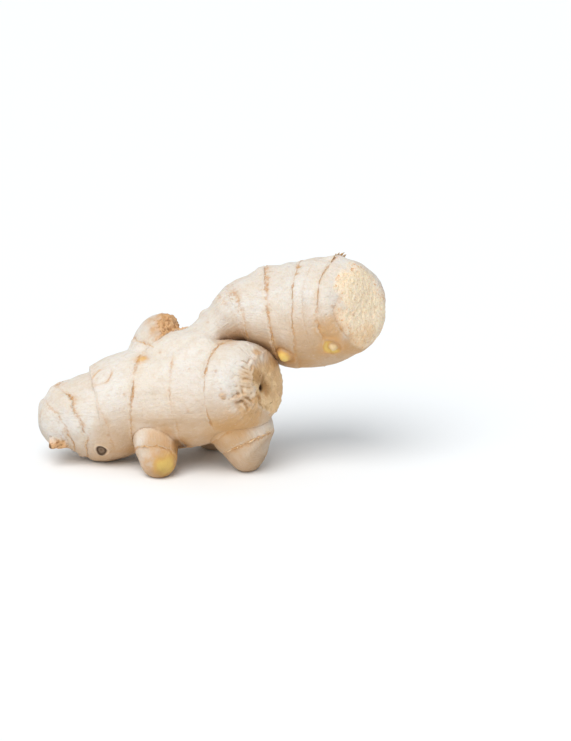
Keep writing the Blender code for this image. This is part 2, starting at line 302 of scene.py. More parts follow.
def draw_out(bm, finger):
    """Adds a sphere and moves its points so that they follow the finger's spine."""
    sphere = bmesh.ops.create_uvsphere(
        bm, u_segments=SPHERE_SIDES, v_segments=SPHERE_ROWS, radius=1.0
    )
    verts = sphere["verts"]
    ball = np.array([v.co for v in verts])
    distance = finger.length * (1 + ball[:, 2]) / 2
    way = unit(ball[:, :2] + [NUDGE, 0])  # so that the poles have a way out too
    reach = finger.at(distance, finger.radii)[:, 0] * finger.closing(distance)
    side = way[:, :1] * finger.at(distance, finger.fronts)
    side = side + way[:, 1:] * finger.at(distance, finger.ups)
    for vert, place in zip(verts, finger.at(distance, finger.centres) + reach[:, None] * side):
        vert.co = Vector(place * MM)
    bmesh.ops.reverse_faces(bm, faces=list({f for v in verts for f in v.link_faces}))


def apply_modifiers(piece):
    graph = bpy.context.evaluated_depsgraph_get()
    mesh = bpy.data.meshes.new_from_object(piece.evaluated_get(graph))
    piece.modifiers.clear()
    piece.data = mesh


def keep_largest_skin(mesh):
    """A remesh can leave a speck inside, so only the largest connected skin is kept."""
    bm = bmesh.new()
    bm.from_mesh(mesh)
    left, skins = set(bm.verts), []
    while left:
        reached = [left.pop()]
        for vert in reached:
            near = {edge.other_vert(vert) for edge in vert.link_edges} & left
            left -= near
            reached.extend(near)
        skins.append(reached)
    skins.sort(key=len)
    bmesh.ops.delete(bm, geom=[v for skin in skins[:-1] for v in skin], context="VERTS")
    bm.to_mesh(mesh)
    bm.free()


bm = bmesh.new()
for finger in [*fingers, saddle]:
    draw_out(bm, finger)
skin = new_piece("rhizome_skin", bm, plain_material("bare", (0.8, 0.7, 0.6), 0.6))
remesh = skin.modifiers.new("one skin", "REMESH")
remesh.mode = "VOXEL"
remesh.voxel_size = VOXEL * MM
relax = skin.modifiers.new("relax", "SMOOTH")
relax.factor = RELAX_FACTOR
relax.iterations = round(SOLID_ROUNDS * (SOLID_VOXEL / VOXEL) ** 2)
apply_modifiers(skin)
keep_largest_skin(skin.data)
print("points of the bare skin:", len(skin.data.vertices))

# %% [markdown]
# # Where on the root is this point?
#
# Relief and colour both follow the growth of a finger, so every point of the skin is told which
# finger it belongs to, how far along it lies and at what angle. The finger whose surface is
# nearest wins. How clearly it wins is kept too: where two fingers are about as near, the point
# lies in the fold between them, and there the skin is more wrinkled and gets painted shade.
#
# Noise from mathutils.noise is the other helper. It depends on nothing but the place, so it gives
# the same result each time. A long wavelength gives lumps and a short one gives roughness. Each
# call of field or ridges names a wavelength in mm, and a shift that makes it unlike the others.

# %% Read the skin
BATCH = 15000
FAR_AWAY = 1000.0


def points_of(mesh):
    """The mesh's points in mm, and its normals."""
    points = np.empty(len(mesh.vertices) * 3, np.float32)
    mesh.vertices.foreach_get("co", points)
    normals = np.empty(len(mesh.vertices) * 3, np.float32)
    mesh.vertex_normals.foreach_get("vector", normals)
    return points.reshape(-1, 3).astype(float) / MM, normals.reshape(-1, 3).astype(float)


def nearest_row(points, centres):
    """For each point, the number of the nearest centre, worked out in batches to save memory."""
    batches = np.array_split(points, len(points) // BATCH + 1)
    length = (centres**2).sum(axis=1)
    return np.concatenate([(length - 2 * batch @ centres.T).argmin(axis=1) for batch in batches])


def read_skin(points):
    """Each point's finger, distance along it and angle round it, and how clearly it is its own."""
    count = len(points)
    nearest, second = np.full(count, FAR_AWAY), np.full(count, FAR_AWAY)
    owner, distance, angle = np.zeros(count, int), np.zeros(count), np.zeros(count)
    for index, finger in enumerate(fingers):
        row = nearest_row(points, finger.centres)
        offset = points - finger.centres[row]
        depth = np.linalg.norm(offset, axis=1) - finger.radii[row]
        run = finger.along[row] + (offset * finger.tangents[row]).sum(axis=1)
        to_front = (offset * finger.fronts[row]).sum(axis=1)
        turn = np.arctan2((offset * finger.ups[row]).sum(axis=1), to_front)
        mine = depth < nearest
        second = np.where(mine, nearest, np.minimum(second, depth))
        nearest = np.where(mine, depth, nearest)
        owner[mine], distance[mine], angle[mine] = index, run[mine], turn[mine]
    return owner, distance, angle, second - nearest


def field(points, wavelength, shift=0.0):
    """Smooth noise from about -1 to 1 that changes over the wavelength, in mm."""
    return np.array([noise.noise(place) for place in ((points + shift) / wavelength).tolist()])


def ridges(points, wavelength, shift=0.0):
    """Noise with sharp crests at 1 and valleys near 0, like crumpled paper."""
    return 1 - 2 * np.abs(field(points, wavelength, shift))


def step_up(values, low, high):
    """0 below low, 1 above high and smooth between; with low above high it falls instead."""
    share = np.clip((values - low) / (high - low), 0, 1)
    return share * share * (3 - 2 * share)


def ring(apart, radius, width):
    """1 where a point is the radius apart from something, and fading over the width."""
    return np.exp(-(((apart - radius) / width) ** 2))


points, normals = points_of(skin.data)
owner, distance, angle, clear_by = read_skin(points)
shares = np.bincount(owner) / len(owner)
print("share of the skin on each finger:", shares.round(2).tolist())

# %% [markdown]
# # Joints and their scars
#
# Between two scars a joint swells a little. At a scar the older joint ends in a thin lip, and the
# next one starts in a groove just past it. Real scars wander, fade and sharpen on their way
# round, so the place of the groove is moved by noise and its strength is multiplied by noise.
# How far each point is from its nearest scar is kept, because the colour needs it as well. At
# the body's thin end the skin hangs loose, and there the lips of the scars grow into folds.

# %% Raise the joints and cut the scars
JOINT_SWELL = 0.5
JOINT_STRENGTH = 0.4
SCAR_WAVE = 0.9
SCAR_JAG = 0.4
GROOVE_DEPTH = 0.19
GROOVE_WIDTH = 0.5
LIP_HEIGHT = 0.26
LIP_BACK = 1.1
LIP_WIDTH = 0.8
FAR_FROM_SCARS = 9.0
WIDEST_GAP = 6.0
HALO_REACH = 2.4
MARK_ENDS, MARK_FULL = 3.2, 2.2
SCAR_FADE = 5.0
SLACK_FROM, SLACK_FULL = -45.0, -53.0


def slack_at(places):
    """How loose the skin is: it hangs in folds at the body's thin end."""
    return step_up(places[:, 0], SLACK_FROM, SLACK_FULL)


def wander_at(places):
    """How far a scar strays from its place along the finger, in mm."""
    slow = field(places, 9.0, -SPINES_MOVED[:3])
    crooked = 1.3 * slack_at(places) * field(places, 4.5, 13.0) + 0.35 * field(places, 1.3, 14.0)
    return SCAR_WAVE * slow + SCAR_JAG * field(places, 2.4, 11.0) + crooked


wander = wander_at(points)
uneven = np.clip(0.7 + 1.0 * field(points, 7.0, 5.0), 0.2, 1.25)
torn = np.clip(1.0 + 1.1 * field(points, 1.5, 23.0), 0.2, 1.8)
slack = slack_at(points)
relief = np.zeros(len(points))
scar_gap = np.full(len(points), FAR_FROM_SCARS)
scar_mark = np.zeros(len(points))
for index, finger in enumerate(fingers):
    mine = owner == index
    run, lift = distance[mine], np.sin(angle[mine])
    joints = [0.0, *[s for s, _, strength in finger.scars if strength >= JOINT_STRENGTH]]
    raised = np.zeros(mine.sum())
    for low, high in zip(joints, [*joints[1:], finger.length]):
        raised += JOINT_SWELL * np.sin(math.pi * np.clip((run - low) / (high - low), 0, 1)) ** 2
    gap, mark = scar_gap[mine], scar_mark[mine]
    for place, slant, strength in finger.scars:
        past = run - place - slant * lift - wander[mine]
        here = strength * uneven[mine]
        raised -= here * GROOVE_DEPTH * ring(past, 0.0, GROOVE_WIDTH)
        wide = 1 + 0.9 * slack[mine]
        lip = ring(past, -LIP_BACK * wide, LIP_WIDTH * wide)
        raised += here * LIP_HEIGHT * (torn[mine] + 2.4 * slack[mine]) * lip
        nearer = np.abs(past) < np.abs(gap)
        gap, mark = np.where(nearer, past, gap), np.where(nearer, here, mark)
    relief[mine] = raised * step_up(clear_by[mine], 0.0, SCAR_FADE)
    scar_gap[mine], scar_mark[mine] = gap, mark
scar_halo = scar_mark * ring(scar_gap, 0.0, HALO_REACH)
scar_mark *= step_up(np.abs(scar_gap), MARK_ENDS, MARK_FULL) * step_up(clear_by, 0.0, 1.5)
scar_gap = np.clip(scar_gap, -WIDEST_GAP, WIDEST_GAP)
print("scars:", sum(len(finger.scars) for finger in fingers))

# %% [markdown]
# # Uneven growth and wrinkles
#
# No finger is a smooth tube. Slow noise gives lumps. The papery skin over them has dried and
# shrunk, so it is wrinkled lengthwise, as the skin of an old carrot is. For that, the noise reads
# coordinates of its own: the distance along the finger, squeezed, and the place on a circle round
# it. A pattern that changes slowly along and quickly across is a set of long wrinkles. The circle
# has the same size everywhere, and it closes on itself, so no seam shows at the back. Nooks, such
# as the one under the neck, are marked so that the colour can paint shade into them.

# %% Add growth and wrinkles
LUMPS = ((30.0, 1.5), (13.0, 0.7), (5.5, 0.22))
LUMPS_SHIFT = 37.0 - SPINES_MOVED[:3]
GRAIN_CIRCLE = 18.0
WRINKLES = ((0.10, 4.2, 0.18), (0.16, 2.1, 0.14))
FOLD_REACH = 5.0
NECK_REACH = 6.5
SADDLE_HEIGHT, SADDLE_LEFT, SADDLE_RIGHT = (33.0, 38.0), (-21.0, -16.0), (7.0, 0.0)

growth = sum(size * field(points, wave, LUMPS_SHIFT) for wave, size in LUMPS)
relief += growth * np.array([finger.lumpy for finger in fingers])[owner]
grain = np.stack(
    [distance, GRAIN_CIRCLE * np.cos(angle), GRAIN_CIRCLE * np.sin(angle)], axis=-1
) + 50.0 * owner[:, None]
in_fold = np.exp(-np.maximum(clear_by, 0) / FOLD_REACH)
steady = 1 - in_fold**3
on_saddle = step_up(points[:, 2], *SADDLE_HEIGHT) * (owner <= fingers.index(upper))
on_saddle *= step_up(points[:, 0], *SADDLE_LEFT) * step_up(points[:, 0], *SADDLE_RIGHT)
in_fold *= 1 - 0.85 * on_saddle
# Painted shade: the nook where the neck sits close over the lobe is darkened in the colour.
painted_shade_nooks = np.exp(-np.maximum(clear_by, 0) / NECK_REACH) * (owner == fingers.index(upper))
painted_shade_nooks *= step_up(points[:, 0], -2.0, 6.0)
for squeeze, wave, size in WRINKLES:
    long_wrinkles = ridges(grain * [squeeze, 1, 1], wave) * steady
    relief += size * (0.55 + 1.3 * in_fold) * long_wrinkles
print("growth from", growth.min().round(2), "to", growth.max().round(2), "mm")

# %% [markdown]
# # Buds, eyes and marks
#
# A rhizome carries buds: small yellow domes from which the next finger would grow. Some are only
# an eye, a dome in a shallow dish with a raised edge. Where a rootlet has come off, it leaves a
# round dark scar with a rim. Each is a place on a finger with a radius and a height, and its
# relief depends only on how far a point is from that place.

# %% Model the buds and marks
BIG_BUD, EYE = (upper, 66.0, -36.0), (upper, 91.7, -33.0)
ROOT_SCAR, NUB = (body, 24.3, -35.0), (body, 96.7, 7.0)
BACK_EYE, BACK_DOME = (body, 26.0, 165.0), (body, 80.0, 150.0)

# Each row has a finger, mm along it, degrees round it, a radius and a height.
BUDS = (
    (*BIG_BUD, 3.6, 2.6), (*EYE, 2.2, 1.8), (upper, 91.7, 104.0, 5.0, 1.4),
    (upper, 55.0, 100.0, 8.0, 1.3), (upper, 35.1, 95.0, 3.0, 1.2), (upper, 78.4, 77.0, 2.6, -0.7),
    (upper, 84.0, 205.0, 5.2, 2.8), (upper, 62.0, 165.0, 3.4, 1.6), (body, 53.5, 66.0, 2.4, 0.5),
    (body, 36.6, 58.0, 4.6, 0.6), (body, 3.4, -40.0, 3.0, 2.6), (body, 6.5, -47.0, 1.6, 1.0),
    (*ROOT_SCAR, 2.4, -0.6), (*NUB, 0.9, 0.6), (*BACK_EYE, 5.0, 2.0), (*BACK_DOME, 7.0, 1.6),
    (body, 42.0, 205.0, 3.6, 2.2), (heel, 18.0, 130.0, 2.6, 1.2),
)
# A rim also has a width.
RIMS = (
    (*EYE, 4.4, 0.4, 0.9), (*EYE, 3.0, -0.25, 0.5), (*BIG_BUD, 3.9, -0.5, 0.6),
    (*ROOT_SCAR, 2.9, 0.4, 0.5), (*ROOT_SCAR, 0.9, 0.3, 0.4), (*BACK_EYE, 5.4, 0.45, 1.2),
    (*BACK_DOME, 7.8, 0.5, 1.3), (*NUB, 1.4, -0.12, 0.3),
)
# A stain has a strength instead of a height. Most are real stains; three paint shade: under the
# neck, on the shaded side of the pointed finger's root, and a faint darkening on the body's right.
STAINS_AND_SHADE = (
    (upper, 95.5, -4.0, 9.0, 0.95), (upper, 97.0, -48.0, 10.0, 0.8), (upper, 84.0, -30.0, 8.0, 0.5),
    (upper, 70.0, -56.0, 9.0, 1.0), (upper, 56.0, -50.0, 9.0, 0.8), (upper, 38.0, -60.0, 9.0, 0.9),
    (upper, 86.0, -5.0, 14.0, 0.4), (upper, 101.5, -70.0, 8.0, 0.7), (body, 93.0, -46.0, 12.0, 1.0),
    (body, 82.0, -50.0, 10.0, 0.6), (body, 76.0, 25.0, 14.0, 0.14), (body, 90.0, 100.0, 7.0, 0.5),
    (body, 35.0, -52.0, 6.0, 0.8), (pointed, 18.0, 20.0, 9.0, 0.8),
    (pointed, 20.0, 100.0, 9.0, 1.0),
)
dent = 1 + 0.1 * field(points, 2.8, 19.0) + 0.16 * field(points, 6.0, 20.0)


def apart_from(finger, along, degrees, stretch=1.0):
    """How far each point is from a spot on a finger's skin. With a stretch, a length along the
    finger counts as so many times shorter, which makes round marks into long ones."""
    wanted = finger.skin_place(along, degrees)
    offset = points - points[np.linalg.norm(points - wanted, axis=1).argmin()]
    run = offset @ finger.at(np.array([along]), finger.tangents)[0]
    across = np.linalg.norm(offset, axis=1) ** 2 - run**2
    return np.sqrt(np.maximum(across, 0) + (run / stretch) ** 2) * dent


def strongest(*masks):
    """The greatest of several masks at each point."""
    return np.max(masks, axis=0)


for finger, along, degrees, radius, height in BUDS:
    relief += height * np.clip(1 - (apart_from(finger, along, degrees) / radius) ** 2, 0, 1) ** 1.5
for finger, along, degrees, radius, height, width in RIMS:
    relief += height * ring(apart_from(finger, along, degrees), radius, width)

big_bud, eye, nub = apart_from(*BIG_BUD), apart_from(*EYE), apart_from(*NUB)
sore, round_scar = apart_from(body, 53.3, 65.0, 1.4), apart_from(body, 36.8, 56.0, 1.35)
root_scar, left_nub = apart_from(*ROOT_SCAR, 0.72), apart_from(body, 4.6, -44.0)
tip_spot = apart_from(pointed, 30.0, 72.0, 2.0)
peeled = step_up(tip_spot + 1.4 * field(points, 4.0, 3.0), 7.6, 0.6)
half_seen = np.clip(0.5 + 1.4 * field(points, 5.0, 47.0), 0, 1)
relief -= 0.25 * peeled
relief += half_seen * (0.3 * ring(round_scar, 3.9, 0.6) - 0.25 * ring(round_scar, 3.3, 0.4))

left_of_eye = step_up((points - upper.skin_place(*EYE[1:])) @ upper.tangents[-1], 2.5, -1.5)
flesh = strongest(
    peeled, step_up(big_bud, 3.9, 1.6),
    ring(eye, 3.1, 1.2) * left_of_eye + 0.45 * step_up(sore, 1.9, 0.8),
)
bud_tip = strongest(step_up(eye, 2.6, 1.2), 0.2 * step_up(big_bud, 2.6, 0.5))
halo = strongest(
    step_up(eye, 8.0, 4.0), step_up(big_bud, 6.5, 3.5), step_up(sore, 3.0, 1.2),
    step_up(tip_spot, 11.5, 5.0), ring(nub, 0.8, 0.6),
    0.85 * ring(round_scar, 3.5, 0.5) * half_seen,
)
bruise = strongest(
    ring(root_scar, 2.3, 0.75), 0.66 * step_up(root_scar, 2.6, 1.9),
    0.4 * step_up(nub, 0.7, 0.3), 0.85 * step_up(apart_from(body, 3.2, -38.0), 1.2, 0.4),
)
# Painted shade on the shaded side where the pointed finger grows out of the body.
painted_shade_nooks = strongest(painted_shade_nooks, step_up(apart_from(pointed, 17.5, 95.0), 9.0, 1.5))
stain_and_shade = np.zeros(len(points))
for finger, along, degrees, radius, strength in STAINS_AND_SHADE:
    spread = apart_from(finger, along, degrees) + 0.35 * radius * field(points, 5.0, 60.0)
    stain_and_shade = strongest(stain_and_shade, strength * step_up(spread, 1.1 * radius, 0.25 * radius))
print("buds and marks:", len(BUDS), "and rims:", len(RIMS))

# %% [markdown]
# # The withered end
#
# The body's right end has withered. It is a flat tan face with a dark pit, where the old stem
# stood, and on its left the skin is pulled into bold folds. Each fold and each crack is a line
# between two places on the skin, and its relief depends on how far a point is from that line. A
# smooth maximum cuts the face: log and exp together round its corner.

# %% Cut the face and pull the folds
FACE_WAY = np.array([0.85, -0.48, 0.21])
FACE_CUT = 2.6
FACE_REACH = 17.0
FACE_CORNER = 0.3
FACE_TOP = (49.5, 45.5)
PIT, PIT_DEPTH, PIT_RADIUS = (21.5, -21.7, 38.3), 2.4, 1.7
HOLLOW, HOLLOW_DEPTH, HOLLOW_RADIUS = (23.3, -20.2, 39.5), 1.3, 3.6
# Each fold has a start, an end, a height and a width.
FOLDS = (
    ((17.8, -20.8, 50.0), (15.8, -23.7, 48.0), 1.0, 0.7),
    ((12.0, -24.7, 49.5), (15.8, -23.7, 48.0), 1.1, 0.7),
    ((9.0, -29.8, 35.4), (14.4, -28.0, 37.2), 1.4, 0.8),
    ((13.4, -28.8, 36.4), (17.0, -27.0, 31.7), 1.4, 0.7),
    ((11.6, -28.4, 40.2), (12.8, -28.5, 37.2), 1.2, 0.6),
    ((5.5, -30.3, 39.5), (9.9, -29.3, 37.5), 0.8, 1.2),
    ((12.0, -26.8, 45.3), (16.8, -25.7, 43.9), 0.6, 0.7),
    ((11.8, -27.8, 42.4), (17.2, -26.2, 41.2), 0.6, 0.7),
    ((12.5, -29.0, 34.5), (14.0, -28.2, 30.0), 0.6, 0.8),
    ((9.0, -28.4, 42.5), (12.0, -27.6, 43.0), 0.4, 1.0),
)
CRACKS = (
    ((19.2, -25.3, 38.0), (19.4, -25.5, 34.2)), ((19.4, -25.5, 34.2), (21.3, -24.0, 30.4)),
    ((20.9, -22.5, 43.6), (22.6, -20.6, 44.8)), ((24.4, -20.3, 31.0), (25.9, -18.4, 31.6)),
)


def on_skin(place):
    """The skin's point nearest to a place in the frame of the spines' stations."""
    place = np.array(place) + SPINES_MOVED[:3]
    return points[np.linalg.norm(points - place, axis=1).argmin()]


stray = np.stack([field(points, 2.4, shift) for shift in (51.0, 52.0, 53.0)], axis=-1)
wobbly = points + 0.7 * stray


def apart_from_line(start, end):
    """How far each point is from a line on the skin, and its share of the way along it."""
    start, end = on_skin(start), on_skin(end)
    way = end - start
    share = np.clip((wobbly - start) @ way / (way @ way), 0, 1)
    return np.linalg.norm(wobbly - start - share[:, None] * way, axis=1), share


hole = on_skin(PIT)
apart = np.linalg.norm(points - hole, axis=1)
face_way = unit(FACE_WAY)
at_end = (apart < FACE_REACH) & (owner == fingers.index(body))
face_height = (points - hole) @ face_way
beyond = np.where(at_end, face_height - face_height[at_end].max() + FACE_CUT, -9.0)
cut = FACE_CORNER * np.log1p(np.exp(beyond / FACE_CORNER))
relief -= cut / np.clip(normals @ face_way, 0.4, 1.0)
beyond += 0.7 * field(points, 4.0, 12.0) + 0.4 * field(points, 1.6, 13.0)
face = step_up(beyond, -0.9, 0.2)
face *= step_up(points[:, 2] + 1.5 * field(points, 3.0, 27.0), *FACE_TOP)
relief += 0.35 * ring(beyond, -0.6, 0.5) * torn

for start, end, height, width in FOLDS:
    gap, share = apart_from_line(start, end)
    height = height * (0.3 + 0.7 * np.sin(math.pi * share))
    height = height * np.clip(0.8 + field(points, 2.0, 71.0), 0.3, 1.3)
    relief += height * (np.exp(-gap / width) - 0.6 * ring(gap, 2.0 * width, 0.9 * width))
print("share of the face:", round(float((face > 0.5).mean()), 3), "folds:", len(FOLDS))

# %% [markdown]
# # Crumpled skin, the pit and brown spots
#
# Between the bold folds the skin is crumpled, finely and like a fan round the pit. So this noise
# reads the angle round the pit, on a circle again, and hardly how far away a point is. The pit
# lies in a wider hollow. Brown spots are places on the skin with a radius and a strength.

# %% Crumple the skin and dig the pit
BROWN_SPOTS = (
    ((19.2, -16.0, 51.8), 2.6, 1.0), ((17.4, -23.0, 46.6), 2.3, 0.9), ((18.8, -25.7, 34.3), 3.0, 1.0),
    ((15.9, -26.7, 26.9), 8.0, 1.0), ((11.5, -27.6, 23.0), 8.0, 0.9), ((23.6, -20.0, 39.5), 5.0, 1.0),
    ((36.5, -3.0, 84.0), 1.5, 1.0), ((36.0, -7.0, 82.5), 1.3, 1.0), ((19.5, -20.5, 48.0), 4.0, 0.5),
    ((15.2, -25.5, 44.0), 5.0, 0.5), ((11.5, -28.0, 34.5), 5.0, 0.6), ((19.5, -23.5, 43.5), 4.0, 0.7),
)
FAN_CIRCLE = 9.0

crumpled = step_up(apart + 4.0 * field(points, 5.5, 2.0), 16.0, 9.0)
crumpled *= step_up(normals @ body.fronts[-1], -0.2, 0.5)
turn = np.arctan2((points - hole) @ body.ups[-1], (points - hole) @ body.fronts[-1])
fan = np.stack([0.3 * apart, FAN_CIRCLE * np.cos(turn), FAN_CIRCLE * np.sin(turn)], axis=-1)
fan += 0.3 * (wobbly - points)
relief += 0.35 * crumpled * (ridges(fan, 1.9, 9.0) - 0.5)
relief += 0.45 * crumpled * (ridges(points, 3.2, 33.0) - 0.5)
pleats = ridges(wobbly * [0.4, 0.4, 1.0], 1.5, 26.0) - 0.5
relief += 0.4 * step_up(apart, 15.0, 10.0) * (1 - face) * crumpled * pleats
relief += face * (0.5 * field(points, 3.6, 17.0) + 0.3 * (ridges(wobbly, 3.2, 21.0) - 0.5))

hollow = np.linalg.norm(points - on_skin(HOLLOW), axis=1) * dent
relief -= HOLLOW_DEPTH * ring(hollow, 0.0, HOLLOW_RADIUS)
relief -= PIT_DEPTH * ring(apart * dent, 0.0, PIT_RADIUS)
crack = np.min([apart_from_line(*ends)[0] for ends in CRACKS], axis=0)
relief -= 0.4 * ring(crack, 0.0, 0.4)

withered = strongest(face, 0.45 * crumpled)
# Painted shade in the hollow round the pit and in the cracks.
painted_shade_nooks = strongest(painted_shade_nooks, 0.72 * ring(hollow, 0.0, 3.4), 0.8 * ring(crack, 0.0, 0.45))
bruise = strongest(bruise, 0.95 * step_up(apart * dent, 2.1, 0.9))
for place, radius, strength in BROWN_SPOTS:
    spread = np.linalg.norm(points - on_skin(place), axis=1)
    spread += 0.4 * radius * field(points, 3.0, 61.0)
    stain_and_shade = strongest(stain_and_shade, strength * step_up(spread, 1.1 * radius, 0.3 * radius))
print("share of crumpled skin:", round(float((crumpled > 0.5).mean()), 3))

# %% [markdown]
# # The corky end and the broken stub
#
# The big upper finger ends in a broad corky face, dry and finely pitted, just past its last scar.
# The stub was broken off, and its end is crumbly and brown, like the nub at the body's thin end.

# %% Roughen the cork and the broken end
BROKEN_AT = (-15.0, 3.5, 58.0)

place, slant, _ = upper.scars[-1]
past_face = distance - place - slant * np.sin(angle) - wander
past_face += 1.2 * field(points, 5.0, 35.0) + 3.2 * np.sin(angle) ** 2 - 1.2
cork = np.where(owner == fingers.index(upper), step_up(past_face, -1.2, 1.6), 0.0)
relief += cork * (0.16 * field(points, 1.5, 31.0) + 0.34 * (ridges(wobbly, 2.2, 41.0) - 0.6))
steady *= 1 - cork

on_stub = owner == fingers.index(stub)
stub_end = np.linalg.norm(points - on_skin(BROKEN_AT), axis=1)
ragged = step_up(stub_end + 3.0 * field(points, 3.0, 6.0), 10.5, 5.5) * on_stub
ragged = strongest(ragged, step_up(left_nub + 0.8 * field(points, 1.4, 6.0), 4.4, 2.6))
crumbs = 1.1 * field(points, 2.8, 14.0) + 0.55 * field(points, 1.3, 15.0)
relief += ragged * (crumbs + 0.5 + 0.6 * (ridges(points, 2.2, 16.0) - 0.6))
around_stub = np.clip(0.6 + field(points, 4.0, 44.0), 0, 1) * on_stub
halo = strongest(halo, 0.9 * step_up(stub_end, 15.0, 10.0) * around_stub)
print("share of corky and of ragged skin:",
      [round(float((mask > 0.5).mean()), 3) for mask in (cork, ragged)])

# %% [markdown]
# # Pimples, then move the skin
#
# Here and there a hair-thin rootlet once grew and left a pimple. Their places are drawn at
# random, with a fixed seed so that they are the same each time. Then every point moves along its
# own normal by the relief that has been added up, and what would go below the table is pressed
# flat on it: the root rests on those small flat spots.

# %% Add pimples and move the points
PIMPLES = 45
PIMPLE_SEED = 4
chance = np.random.default_rng(PIMPLE_SEED)
pimple = np.zeros(len(points))
for spot in chance.choice(len(points), PIMPLES, replace=False):
    radius = chance.uniform(0.4, 0.8)
    apart = np.linalg.norm(points - points[spot], axis=1)
    pimple = strongest(pimple, ring(apart, 0.0, radius))
relief += 0.2 * pimple

grown = points + normals * relief[:, None]
grown[:, 2] = np.maximum(grown[:, 2], 0.0)
skin.data.vertices.foreach_set("co", (grown * MM).astype(np.float32).ravel())
skin.data.update()
print("relief from", relief.min().round(2), "to", relief.max().round(2), "mm")

# %% [markdown]
# # Valleys and crests
#
# The colour paints shade into the valleys of the skin and a highlight on its crests. To know which
# is which, the mesh is smoothed in numbers only: where the smoothed surface lies above the real
# one there is a valley, and where it lies below there is a crest. A few rounds of smoothing find
# fine wrinkles, and many rounds find the deep folds between fingers.

# %% Measure the valleys
FINE_ROUNDS = 4
BROAD_ROUNDS = 60

edges = np.empty(len(skin.data.edges) * 2, np.int32)
skin.data.edges.foreach_get("vertices", edges)
ends = edges.reshape(-1, 2)
from_ends = np.concatenate([ends[:, 0], ends[:, 1]])
to_ends = np.concatenate([ends[:, 1], ends[:, 0]])
neighbours = np.bincount(from_ends, minlength=len(points))


def smoothed(places, rounds):
    for _ in range(rounds):
        sums = [np.bincount(from_ends, places[to_ends, axis], len(points)) for axis in range(3)]
        places = 0.5 * places + 0.5 * np.stack(sums, axis=-1) / neighbours[:, None]
    return places


grown, outward = points_of(skin.data)
fine = smoothed(grown, FINE_ROUNDS)
fine_valley = ((fine - grown) * outward).sum(axis=1)
broad_valley = ((smoothed(fine, BROAD_ROUNDS) - grown) * outward).sum(axis=1)
print("valleys, in mm: fine", fine_valley.max().round(2), "broad", broad_valley.max().round(2))

# %% [markdown]
# # Hand the masks to the material
#
# A material can't know what a finger or a scar is. So each mask becomes an attribute: a named
# number on every point, which the shader reads by name. Lengths stay in mm. Afterwards the
# Decimate modifier takes out the faces that the even mesh spends on flat skin, and blends the
# attributes of the points that it merges.

# %% Store the attributes and thin the mesh
KEPT_TRIANGLES = 190000


def keep(name, values):
    """Stores one number, or one vector, for each point of the skin."""
    kind, field_name = ("FLOAT", "value") if values.ndim == 1 else ("FLOAT_VECTOR", "vector")
    layer = skin.data.attributes.new(name, kind, "POINT")
    layer.data.foreach_set(field_name, values.astype(np.float32).ravel())


# lift, how far the smoothed skin faces up, lets the colour paint shade on the lower side.
masks = {
    "grain": grain, "steady": steady, "in_fold": in_fold, "painted_shade_nooks": painted_shade_nooks,
    "scar_gap": scar_gap, "scar_mark": scar_mark, "scar_halo": scar_halo, "flesh": flesh,
    "bud_tip": bud_tip, "halo": halo, "bruise": bruise, "withered": withered, "stain_and_shade": stain_and_shade,
    "cork": cork, "ragged": ragged, "pimple": pimple, "fine_valley": fine_valley,
    "broad_valley": broad_valley, "lift": smoothed(outward, BROAD_ROUNDS)[:, 2] + 0.5 * slack,
}
for name, values in masks.items():
    keep(name, values)

skin.data.calc_loop_triangles()
thin = skin.modifiers.new("fewer faces", "DECIMATE")
thin.ratio = KEPT_TRIANGLES / len(skin.data.loop_triangles)
thin.use_collapse_triangulate = True
apply_modifiers(skin)
skin.data.shade_smooth()
print("triangles:", len(skin.data.polygons), "attributes:", len(skin.data.attributes))

# %% [markdown]
# # Shader sums as Python sums
#
# A material is a graph of nodes, and a sum such as 1 - mask * 0.5 takes two of them. One small
# class stands for what a node gives out and lets Python write the nodes: adding two of its values
# adds a Math node. Everything else comes from one method, which takes a node's kind, its settings
# and the values or links of its sockets. Colours are given as the eye reads them, from 0 to 255,
# and are turned into light for the renderer. Skin is then painted in coats, each laid over the
# ones before it where its mask says so.

# %% Make the shader kit
def seen(red, green, blue):
    """A colour as the eye reads it, 0 to 255 each, turned into light."""
    levels = np.array([red, green, blue]) / 255
    return (*(((levels + 0.055) / 1.055) ** 2.4).tolist(), 1.0)


class Amount:
    """What a node gives out. A sum on it adds a Math node."""

    def __init__(self, finish, socket):
        self.finish, self.socket = finish, socket

    def sum(self, operation, *values):
        return self.finish.node(
            "ShaderNodeMath", {"operation": operation}, dict(enumerate(values))
        )

    def __add__(self, other):
        return self.sum("ADD", self, other)

    def __sub__(self, other):
        return self.sum("SUBTRACT", self, other)

    def __rsub__(self, other):
        return self.sum("SUBTRACT", other, self)

    def __mul__(self, other):
        return self.sum("MULTIPLY", self, other)

    def __abs__(self):
        return self.sum("ABSOLUTE", self)

    __radd__ = __add__
    __rmul__ = __mul__


